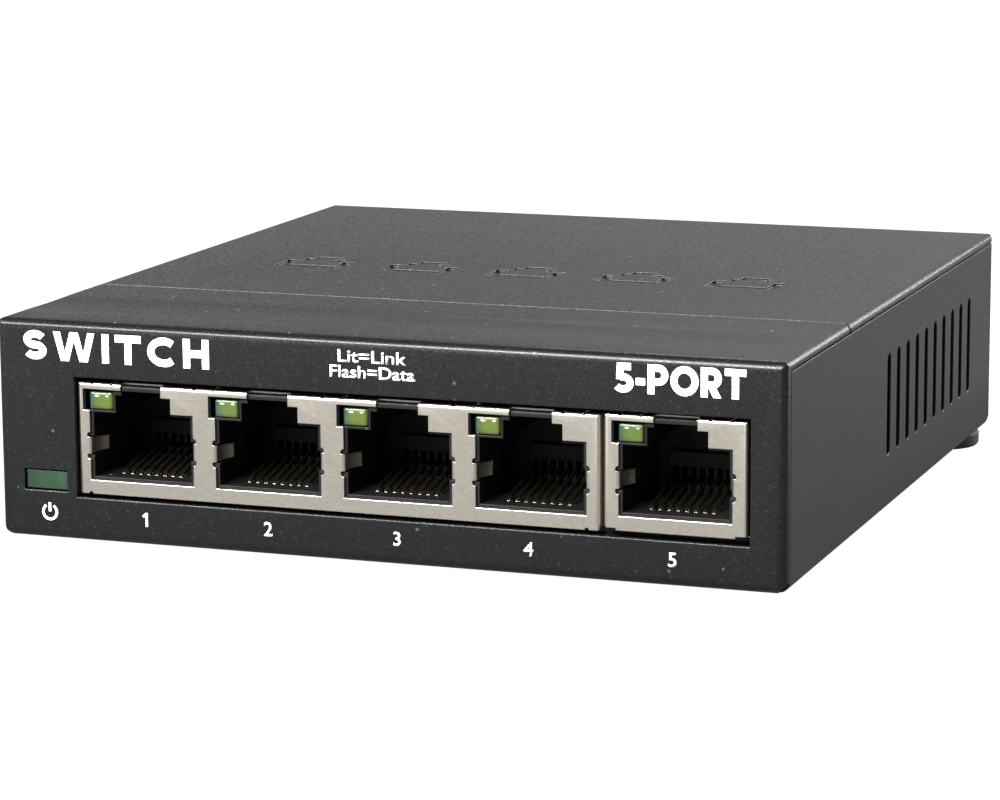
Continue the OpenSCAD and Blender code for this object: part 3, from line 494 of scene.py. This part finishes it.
plasticLooks = {
    # jack_plastic is kept darker than plain black plastic as painted shade, for the dark insides
    # of the jacks
    "jack_plastic": {
        "color": (0.0030, 0.0030, 0.0033), "pale": (0.0055, 0.0055, 0.0058),
        "roughness": (0.42, 0.55), "depth": 0.000006,
        "specular": 0.25, "worn": (0.012, 0.012, 0.012),
    },
    "inlet_plastic": {
        "color": (0.010, 0.010, 0.010), "pale": (0.018, 0.018, 0.018),
        "roughness": (0.35, 0.5), "depth": 0.000008,
    },
    "chip_black": {
        "color": (0.020, 0.020, 0.021), "pale": (0.035, 0.035, 0.036),
        "roughness": (0.55, 0.7), "depth": 0.000010,
    },
    "foot_rubber": {
        "color": (0.012, 0.012, 0.012), "pale": (0.028, 0.028, 0.027),
        "roughness": (0.65, 0.85), "depth": 0.000015,
    },
    "ferrite": {
        "color": (0.075, 0.075, 0.080), "pale": (0.11, 0.11, 0.115),
        "roughness": (0.45, 0.6), "depth": 0.000010,
    },
    "chip_ceramic": {
        "color": (0.36, 0.25, 0.14), "pale": (0.48, 0.36, 0.22),
        "roughness": (0.4, 0.55), "depth": 0.000006,
    },
    "led_white": {
        "color": (0.75, 0.75, 0.71), "pale": (0.85, 0.85, 0.82),
        "roughness": (0.3, 0.4), "depth": 0.000003,
    },
}
plasticWear = {
    "wear": {"Width": 0.0001, "Patchiness": 0.6},
    "worn": (0.03, 0.03, 0.03),
    "wornShare": 0.25,
    "dust": {"Amount": 0.35},
    "dustColor": (0.3, 0.3, 0.29),
    "specular": 0.5,
    "edgeRadius": 0.00012,
}


def mouldedPlastic(name, look, age):
    material, tree, shader, place = startMaterial(name)
    look = {**age, **look}   # a plastic's own values go before the shared ones
    grain = effect(tree, "mouldedGrain", place)
    wear = effect(tree, "edgeWear", place, look["wear"])
    specks = effect(tree, "dust", place, look["dust"])
    base = mixColors(tree, grain.outputs["Flow"], shade(look["color"]), shade(look["pale"]))
    edged = tint(tree, wear.outputs["Mask"], look["wornShare"], base, look["worn"])
    dusty = mixColors(tree, specks.outputs["Mask"], edged, shade(look["dustColor"]))
    tree.links.new(dusty, shader.inputs["Base Color"])
    roughen(tree, shader, grain.outputs["Height"], look["roughness"])
    shader.inputs["Specular IOR Level"].default_value = look["specular"]
    bump(tree, shader, grain.outputs["Height"], look["depth"], look["edgeRadius"])
    return material


boardLook = {
    "tracks": {"Scale": 420.0, "Mortar Size": 0.12, "Brick Width": 1.7, "Row Height": 0.35},
    "overTrack": (0.0015, 0.0050, 0.0028),
    "betweenTracks": (0.0025, 0.0090, 0.0045),
    "cloud": (0.001, 0.003, 0.002),
    "cloudShare": 0.4,
    "grainPerMetre": 3000.0,
    "roughness": (0.22, 0.34),
    "trackHeight": 0.000012,
}


def solderMask(look):
    # dark green lacquer over copper tracks; its greens are kept near black as painted shade, for
    # the board seen in the shaded gap behind the front
    material, tree, shader, place = startMaterial("board_green")
    grain = effect(tree, "mouldedGrain", place, {"Grain Per Metre": look["grainPerMetre"]})
    tracks = addNode(tree, "TexBrick", {"Vector": place, **look["tracks"]}).outputs["Fac"]
    traced = mixColors(tree, tracks, shade(look["overTrack"]), shade(look["betweenTracks"]))
    toned = tint(tree, grain.outputs["Flow"], look["cloudShare"], traced, look["cloud"])
    tree.links.new(toned, shader.inputs["Base Color"])
    roughen(tree, shader, grain.outputs["Height"], look["roughness"])
    bump(tree, shader, tracks, look["trackHeight"])
    return material


canLook = {
    "sleeve": (0.012, 0.025, 0.075),
    "end": (0.62, 0.62, 0.63),
    "endSlope": (0.7, 0.75),     # how far up a surface faces where the bare end starts
    "roughness": (0.25, 0.4),
    "depth": 0.000004,
}


def sleevedCan(look):
    # bare rolled end on top, dark shrink sleeve round the side
    material, tree, shader, place = startMaterial("capacitor_can")
    grain = effect(tree, "mouldedGrain", place)
    normal = addNode(tree, "NewGeometry").outputs["Normal"]
    slope = addNode(tree, "SeparateXYZ", {"Vector": normal}).outputs["Z"]
    top = spread(tree, slope, look["endSlope"])
    color = mixColors(tree, top, shade(look["sleeve"]), shade(look["end"]))
    tree.links.new(color, shader.inputs["Base Color"])
    tree.links.new(top, shader.inputs["Metallic"])
    roughen(tree, shader, grain.outputs["Flow"], look["roughness"])
    bump(tree, shader, grain.outputs["Height"], look["depth"])
    return material


# clear coloured plastics of the lights; places and sizes are shares of the piece's own box
lightLooks = {
    "led_plastic": {
        "rim": (0.015, 0.042, 0.028), "middle": (0.062, 0.086, 0.0115),
        "centre": (0.66, 0.50), "spread": (0.62, 0.70),
        "spot": (0.50, 0.58, 0.45),
        # the LED's two pale spots near its top are painted glints, light reflected at its rounded
        # top
        "spots": [(0.33, 0.80, 0.13, 0.075), (0.76, 0.80, 0.09, 0.065)],
        "roughness": 0.22, "paintedGlow": 0.10, "edgeRadius": 0.0004,
    },
    "lens_plastic": {
        "rim": (0.008, 0.023, 0.011), "middle": (0.011, 0.033, 0.013),
        "centre": (0.75, 0.55), "spread": (0.55, 0.9),
        "spot": (0.016, 0.043, 0.019),
        "spots": [(0.80, 0.60, 0.12, 0.20)],
        "roughness": 0.3, "paintedGlow": 0.05, "edgeRadius": 0.0002,
    },
}
clearBody = {
    "swirlPerMetre": 1500.0,
    "swirl": (0.75, 1.1),          # how much the colour varies
    "spotBreak": (0.35, 0.6),      # grain heights that thin a spot out
    "spotLeast": 0.4,
    "fade": (0.15, 1.0),           # from the full middle of an ellipse to its rim
    "roughnessRange": (0.8, 1.3),  # times the light's own roughness
    "coat": 0.4,
    "coatRoughness": 0.1,
    "depth": 0.00002,
}


def ellipseMask(tree, x, z, centre, size, fade):
    # 1 in the middle of an ellipse on the front, 0 outside it
    dx = math2(tree, "DIVIDE", math2(tree, "SUBTRACT", x, centre[0]), size[0])
    dz = math2(tree, "DIVIDE", math2(tree, "SUBTRACT", z, centre[1]), size[1])
    away = math2(tree, "ADD", math2(tree, "MULTIPLY", dx, dx), math2(tree, "MULTIPLY", dz, dz))
    return spread(tree, away, fade, (1.0, 0.0))


def tintedPlastic(name, look, body):
    # dark towards its rim, with pale spots laid over it; on the LEDs these spots are painted
    # glints of light
    material, tree, shader, place = startMaterial(name)
    grain = effect(tree, "mouldedGrain", place, {"Grain Per Metre": body["swirlPerMetre"]})
    own = addNode(tree, "TexCoord").outputs["Generated"]
    parts = addNode(tree, "SeparateXYZ", {"Vector": own})
    x = parts.outputs["X"]
    z = parts.outputs["Z"]
    middle = ellipseMask(tree, x, z, look["centre"], look["spread"], body["fade"])
    swirl = spread(tree, grain.outputs["Flow"], (0.3, 0.7), body["swirl"])
    full = math2(tree, "MULTIPLY", middle, swirl)
    color = mixColors(tree, full, shade(look["rim"]), shade(look["middle"]))
    thin = spread(tree, grain.outputs["Height"], body["spotBreak"], (body["spotLeast"], 1.0))
    # lays on the pale spots; the LEDs' spots are painted glints
    for left, up, wide, tall in look["spots"]:
        spot = ellipseMask(tree, x, z, (left, up), (wide, tall), body["fade"])
        broken = math2(tree, "MULTIPLY", spot, thin)
        color = mixColors(tree, broken, color, shade(look["spot"]))
    tree.links.new(color, shader.inputs["Base Color"])
    # painted glow: a faint emission in the plastic's own colour, brightening it as if lit from
    # within
    tree.links.new(color, shader.inputs["Emission Color"])
    shader.inputs["Emission Strength"].default_value = look["paintedGlow"]
    roughness = [look["roughness"] * times for times in body["roughnessRange"]]
    roughen(tree, shader, grain.outputs["Height"], roughness)
    shader.inputs["Coat Weight"].default_value = body["coat"]
    shader.inputs["Coat Roughness"].default_value = body["coatRoughness"]
    bump(tree, shader, grain.outputs["Flow"], body["depth"], look["edgeRadius"])
    return material


inkLook = {
    "thin": (0.78, 0.78, 0.77),
    "full": (0.90, 0.90, 0.89),
    "roughness": (0.45, 0.6),
    "depth": 0.000012,
}


def whiteInk(look):
    # screen-printed ink, slightly thin in places
    material, tree, shader, place = startMaterial("whiteInk")
    grain = effect(tree, "powderGrain", place)
    color = mixColors(tree, grain.outputs["Tone"], shade(look["thin"]), shade(look["full"]))
    tree.links.new(color, shader.inputs["Base Color"])
    roughen(tree, shader, grain.outputs["Tone"], look["roughness"])
    bump(tree, shader, grain.outputs["Height"], look["depth"])
    return material


materials = {
    "case_paint": powderCoat(paintLook),
    "board_green": solderMask(boardLook),
    "capacitor_can": sleevedCan(canLook),
    "ink": whiteInk(inkLook),
}
for slotName, look in metalLooks.items():
    materials[slotName] = rolledMetal(slotName, look, metalWear)
for slotName, look in plasticLooks.items():
    materials[slotName] = mouldedPlastic(slotName, look, plasticWear)
for slotName, look in lightLooks.items():
    materials[slotName] = tintedPlastic(slotName, look, clearBody)
for part in frame["record"]["subparts"]:
    for materialSlot in nodes[part["node"]].material_slots:
        materialSlot.material = materials[part["material_slot"]]
print("materials made:", len(materials))

edgeSetup = {
    "weldDistance": 0.000001,    # metres
    "sharpAngle": 32,            # degrees; a steeper corner is shaded as an edge
    "flatAngle": 0.2,            # facets that differ by less are joined
    "roundAngle": 40,            # steeper edges are rounded
    "segments": 3,
    "roundings": {               # mm
        "front_panel": 0.25, "top_cover": 0.18, "rear_panel": 0.18, "base_chassis": 0.18,
        "gang_jack_shield": 0.05, "single_jack_shield": 0.05,
        "gang_jack_housing": 0.06, "single_jack_housing": 0.06,
        "inlet_housing": 0.15, "power_lens": 0.12,
        "port_1_led": 0.22, "port_2_led": 0.22, "port_3_led": 0.22,
        "port_4_led": 0.22, "port_5_led": 0.22,
    },
}


def makeWeldTree(setup):
    # joins the facets' corners, flattens the imported normals and marks real corners sharp
    tree = bpy.data.node_groups.new("weldCorners", "GeometryNodeTree")
    tree.interface.new_socket(name="Geometry", in_out="INPUT", socket_type="NodeSocketGeometry")
    tree.interface.new_socket(name="Geometry", in_out="OUTPUT", socket_type="NodeSocketGeometry")
    start = tree.nodes.new("NodeGroupInput")
    end = tree.nodes.new("NodeGroupOutput")
    dropNormals = tree.nodes.new("GeometryNodeRemoveAttribute")
    dropNormals.inputs["Name"].default_value = "custom_normal"
    merge = tree.nodes.new("GeometryNodeMergeByDistance")
    merge.inputs["Distance"].default_value = setup["weldDistance"]
    smooth = tree.nodes.new("GeometryNodeSetShadeSmooth")
    smooth.domain = "FACE"
    sharpen = tree.nodes.new("GeometryNodeSetShadeSmooth")
    sharpen.domain = "EDGE"
    sharpen.inputs["Shade Smooth"].default_value = False
    edgeAngle = tree.nodes.new("GeometryNodeInputMeshEdgeAngle")
    steep = tree.nodes.new("FunctionNodeCompare")
    steep.inputs[1].default_value = math.radians(setup["sharpAngle"])
    tree.links.new(edgeAngle.outputs["Unsigned Angle"], steep.inputs[0])
    tree.links.new(start.outputs[0], dropNormals.inputs["Geometry"])
    tree.links.new(dropNormals.outputs[0], merge.inputs[0])
    tree.links.new(merge.outputs[0], smooth.inputs[0])
    tree.links.new(smooth.outputs[0], sharpen.inputs[0])
    tree.links.new(steep.outputs[0], sharpen.inputs["Selection"])
    tree.links.new(sharpen.outputs[0], end.inputs[0])
    return tree


def softenEdges(pieces, setup):
    weldTree = makeWeldTree(setup)
    for name, piece in pieces.items():
        weld = piece.modifiers.new("weld", "NODES")
        weld.node_group = weldTree
        if name not in setup["roundings"]:
            continue
        flatten = piece.modifiers.new("flatten", "DECIMATE")
        flatten.decimate_type = "DISSOLVE"
        flatten.angle_limit = math.radians(setup["flatAngle"])
        rounding = piece.modifiers.new("rounding", "BEVEL")
        rounding.width = setup["roundings"][name] * mm
        rounding.segments = setup["segments"]
        rounding.limit_method = "ANGLE"
        rounding.angle_limit = math.radians(setup["roundAngle"])
        rounding.use_clamp_overlap = True
        rounding.harden_normals = True


softenEdges(nodes, edgeSetup)
print("edges softened")

# printed marks: places and sizes are in mm on the front face
prints = {
    "faceGap": 0.012,      # mm that the ink stands off the paint
    "thickness": 0.014,
    "layerStep": 0.0012,   # a stroke that crosses another one lies this much further out
    "joinDistance": 0.0005,
    "cornerLimit": 0.3,    # keeps the point of a sharp corner short
    "boldWords": [
        # text, left x, right x, low z, cap height, stroke and gap as shares of the cap height
        ("SWITCH", -43.56, -20.16, 20.93, 3.37, 0.255, 0.16),
        ("5-PORT", 27.69, 42.38, 21.19, 3.28, 0.24, 0.09),
    ],
    "smallWords": [
        # text, left x, right x, low z, cap height, boldness, in mm
        ("Lit=Link", -4.63, 3.54, 22.71, 1.42, 0.014),
        ("Flash=Data", -5.61, 4.53, 20.96, 1.40, 0.016),
    ],
    "numeralHeight": 1.62,
    "numeralLow": 2.25,
    "numeralBoldness": 0.012,
    "oneWidth": 0.62,
    "oneStroke": 0.17,     # as a share of its height
    "numeralCentres": [-28.65, -13.4, 2.19, 17.70, 34.21],
    "powerCentre": (-40.72, 3.17),
    "powerRadius": 0.86,
    "powerStroke": 0.30,
    "powerOpening": 32,    # degrees left open on either side of the top
    "powerSteps": 40,
    "barReach": (0.05, 0.1),   # from the ring's centre, and past its outer rim
}
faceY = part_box("front_panel")[0].y
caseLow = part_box("base_chassis")[0].z


def arcPoints(centre, radii, start, stop, steps=24):
    points = []
    for k in range(steps + 1):
        angle = math.radians(start + (stop - start) * k / steps)
        x = centre[0] + radii[0] * math.cos(angle)
        points.append((x, centre[1] + radii[1] * math.sin(angle)))
    return points


def boldLetters(stroke):
    # centre lines of each letter's strokes, on a cap height of 1, and the letter's width
    half = stroke / 2
    top = 1 - half
    waist = 0.42
    bowl = (top + waist) / 2
    curl = (1 - stroke) / 4
    ring = 0.5 - half
    stem = [(half, -0.1), (half, 1.1)]
    farStem = [(0.80 - half, -0.1), (0.80 - half, 1.1)]
    bowlLine = [(half, top), (0.36, top)]
    bowlLine += arcPoints((0.40, bowl), (0.22, top - bowl), 90, -90)
    bowlLine += [(0.36, waist), (half, waist)]
    upperCurl = arcPoints((0.36, 0.5 + curl), (0.24, curl), 25, 270)
    lowerCurl = arcPoints((0.36, 0.5 - curl), (0.24, curl), 90, -155)[1:]
    belly = arcPoints((0.28, 0.325), (0.27, 0.325 - half), 112, -145)
    return {
        "S": ([upperCurl + lowerCurl], 0.72),
        "W": ([[(0.10, 1.15), (0.36, -0.12), (0.64, 1.12), (0.92, -0.12), (1.18, 1.15)]], 1.28),
        "I": ([stem], stroke),
        "T": ([[(0, top), (0.76, top)], [(0.38, -0.1), (0.38, top)]], 0.76),
        "C": ([arcPoints((0.5, 0.5), (ring, ring), 48, 312, 36)], 0.88),
        "H": ([stem, farStem, [(half, 0.5), (0.80 - half, 0.5)]], 0.80),
        "5": ([[(0.58, top), (0.19, top), (0.165, 0.44)], belly], 0.66),
        "1": ([[(0.02, 0.72), (0.30, 0.95)], [(0.30, -0.1), (0.30, 1.1)]], 0.38),
        "-": ([[(0, 0.40), (0.34, 0.40)]], 0.34),
        "P": ([stem, bowlLine], 0.62 + half),
        "O": ([arcPoints((0.5, 0.5), (ring, ring), 0, 360, 48)], 1.0),
        "R": ([stem, bowlLine, [(0.34, 0.44), (0.66, -0.12)]], 0.76),
    }


def strokeOutline(flat, line, stroke, depth, cornerLimit):
    # a band of even width along a line, with mitred corners
    points = [Vector(p) for p in line]
    closed = (points[0] - points[-1]).length < 0.001
    ahead = [(b - a).normalized() for a, b in zip(points, points[1:])]
    rows = []
    for k, point in enumerate(points):
        before = ahead[k - 1] if k > 0 or closed else ahead[0]
        after = ahead[k] if k < len(ahead) else (ahead[0] if closed else ahead[-1])
        mean = (before + after).normalized()
        side = Vector((-mean.y, mean.x)) * (stroke / 2 / max(mean.dot(after), cornerLimit))
        rows.append([flat.verts.new((q.x, q.y, depth)) for q in (point - side, point + side)])
    for a, b in zip(rows, rows[1:]):
        flat.faces.new((a[0], b[0], b[1], a[1]))


def boldWordMesh(text, width, tall, stroke, gap, setup):
    letters = boldLetters(stroke)
    natural = sum(letters[c][1] for c in text) + gap * (len(text) - 1)
    stretch = width / (natural * tall)
    flat = bmesh.new()
    left = 0
    for c in text:
        strokes, wide = letters[c]
        for layer, line in enumerate(strokes):
            placed = [((x + left) * stretch, y) for x, y in line]
            depth = layer * setup["layerStep"]
            strokeOutline(flat, placed, stroke, depth, setup["cornerLimit"])
        left += wide + gap
    # the strokes run past the letter's foot and top, and are cut off level there
    for height, normal in ((0.0, (0, -1, 0)), (1.0, (0, 1, 0))):
        cut = list(flat.verts) + list(flat.edges) + list(flat.faces)
        bmesh.ops.bisect_plane(
            flat, geom=cut, plane_co=(0, height, 0), plane_no=normal, clear_outer=True)
    for v in flat.verts:
        v.co = Vector((v.co.x * tall - width / 2, v.co.y * tall, v.co.z))
    mesh = bpy.data.meshes.new("word")
    flat.to_mesh(mesh)
    flat.free()
    return mesh


def linkPiece(name, mesh, material):
    piece = bpy.data.objects.new(name, mesh)
    bpy.context.scene.collection.objects.link(piece)
    mesh.materials.clear()
    mesh.materials.append(material)
    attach(piece, "root")


def wordMesh(text, capHeight, boldness, width=None):
    # lays the word out flat, then scales it to the wanted cap height and width
    curve = bpy.data.curves.new("word", "FONT")
    curve.body = text
    curve.offset = boldness
    curve.resolution_u = 6
    temp = bpy.data.objects.new("word", curve)
    bpy.context.scene.collection.objects.link(temp)
    bpy.context.view_layer.update()
    mesh = bpy.data.meshes.new_from_object(temp)
    bpy.data.objects.remove(temp)
    xs = [v.co.x for v in mesh.vertices]
    ys = [v.co.y for v in mesh.vertices]
    tall = capHeight / (max(ys) - min(ys))
    wide = width / (max(xs) - min(xs)) if width else tall
    middle = (max(xs) + min(xs)) / 2
    for v in mesh.vertices:
        v.co = Vector(((v.co.x - middle) * wide, (v.co.y - min(ys)) * tall, 0))
    return mesh


def standUp(mesh, centreX, lowZ, setup):
    # turns a flat outline in mm into a thin solid print on the front face
    solid = bmesh.new()
    solid.from_mesh(mesh)
    bmesh.ops.remove_doubles(solid, verts=solid.verts, dist=setup["joinDistance"])
    grown = bmesh.ops.extrude_face_region(solid, geom=list(solid.faces))
    for item in grown["geom"]:
        if isinstance(item, bmesh.types.BMVert):
            item.co.z -= setup["thickness"]
    for v in solid.verts:
        depth = faceY - (setup["faceGap"] + v.co.z) * mm
        v.co = Vector(((v.co.x + centreX) * mm, depth, caseLow + (v.co.y + lowZ) * mm))
    bmesh.ops.recalc_face_normals(solid, faces=solid.faces)
    solid.to_mesh(mesh)
    solid.free()
    return mesh


def printWords(setup):
    for text, left, right, low, tall, stroke, gap in setup["boldWords"]:
        mesh = boldWordMesh(text, right - left, tall, stroke, gap, setup)
        standUp(mesh, (left + right) / 2, low, setup)
        linkPiece("print_" + text, mesh, materials["ink"])
    for text, left, right, low, tall, bold in setup["smallWords"]:
        mesh = wordMesh(text, tall, bold, right - left)
        standUp(mesh, (left + right) / 2, low, setup)
        linkPiece("print_" + text.replace(" ", "").replace("=", "_"), mesh, materials["ink"])
    for number, x in enumerate(setup["numeralCentres"], 1):
        tall = setup["numeralHeight"]
        if number == 1:
            mesh = boldWordMesh("1", setup["oneWidth"], tall, setup["oneStroke"], 0, setup)
        else:
            mesh = wordMesh(str(number), tall, setup["numeralBoldness"])
        standUp(mesh, x, setup["numeralLow"], setup)
        linkPiece("print_number_" + str(number), mesh, materials["ink"])


def printPowerSign(setup):
    # open ring with a bar through the gap
    flat = bmesh.new()
    half = setup["powerStroke"] / 2
    inner = setup["powerRadius"] - half
    outer = setup["powerRadius"] + half
    steps = setup["powerSteps"]
    opening = setup["powerOpening"]
    ring = []
    for k in range(steps + 1):
        angle = math.radians(90 + opening + (360 - 2 * opening) * k / steps)
        across = (math.cos(angle), math.sin(angle))
        ring.append([flat.verts.new((r * across[0], r * across[1], 0)) for r in (inner, outer)])
    for a, b in zip(ring, ring[1:]):
        flat.faces.new((a[0], a[1], b[1], b[0]))
    low, past = setup["barReach"]
    corners = [(-half, low), (half, low), (half, outer + past), (-half, outer + past)]
    flat.faces.new([flat.verts.new((x, y, 0)) for x, y in corners])
    mesh = bpy.data.meshes.new("print_power")
    flat.to_mesh(mesh)
    flat.free()
    standUp(mesh, setup["powerCentre"][0], setup["powerCentre"][1], setup)
    linkPiece("print_power", mesh, materials["ink"])


printWords(prints)
printPowerSign(prints)
print("marks printed")
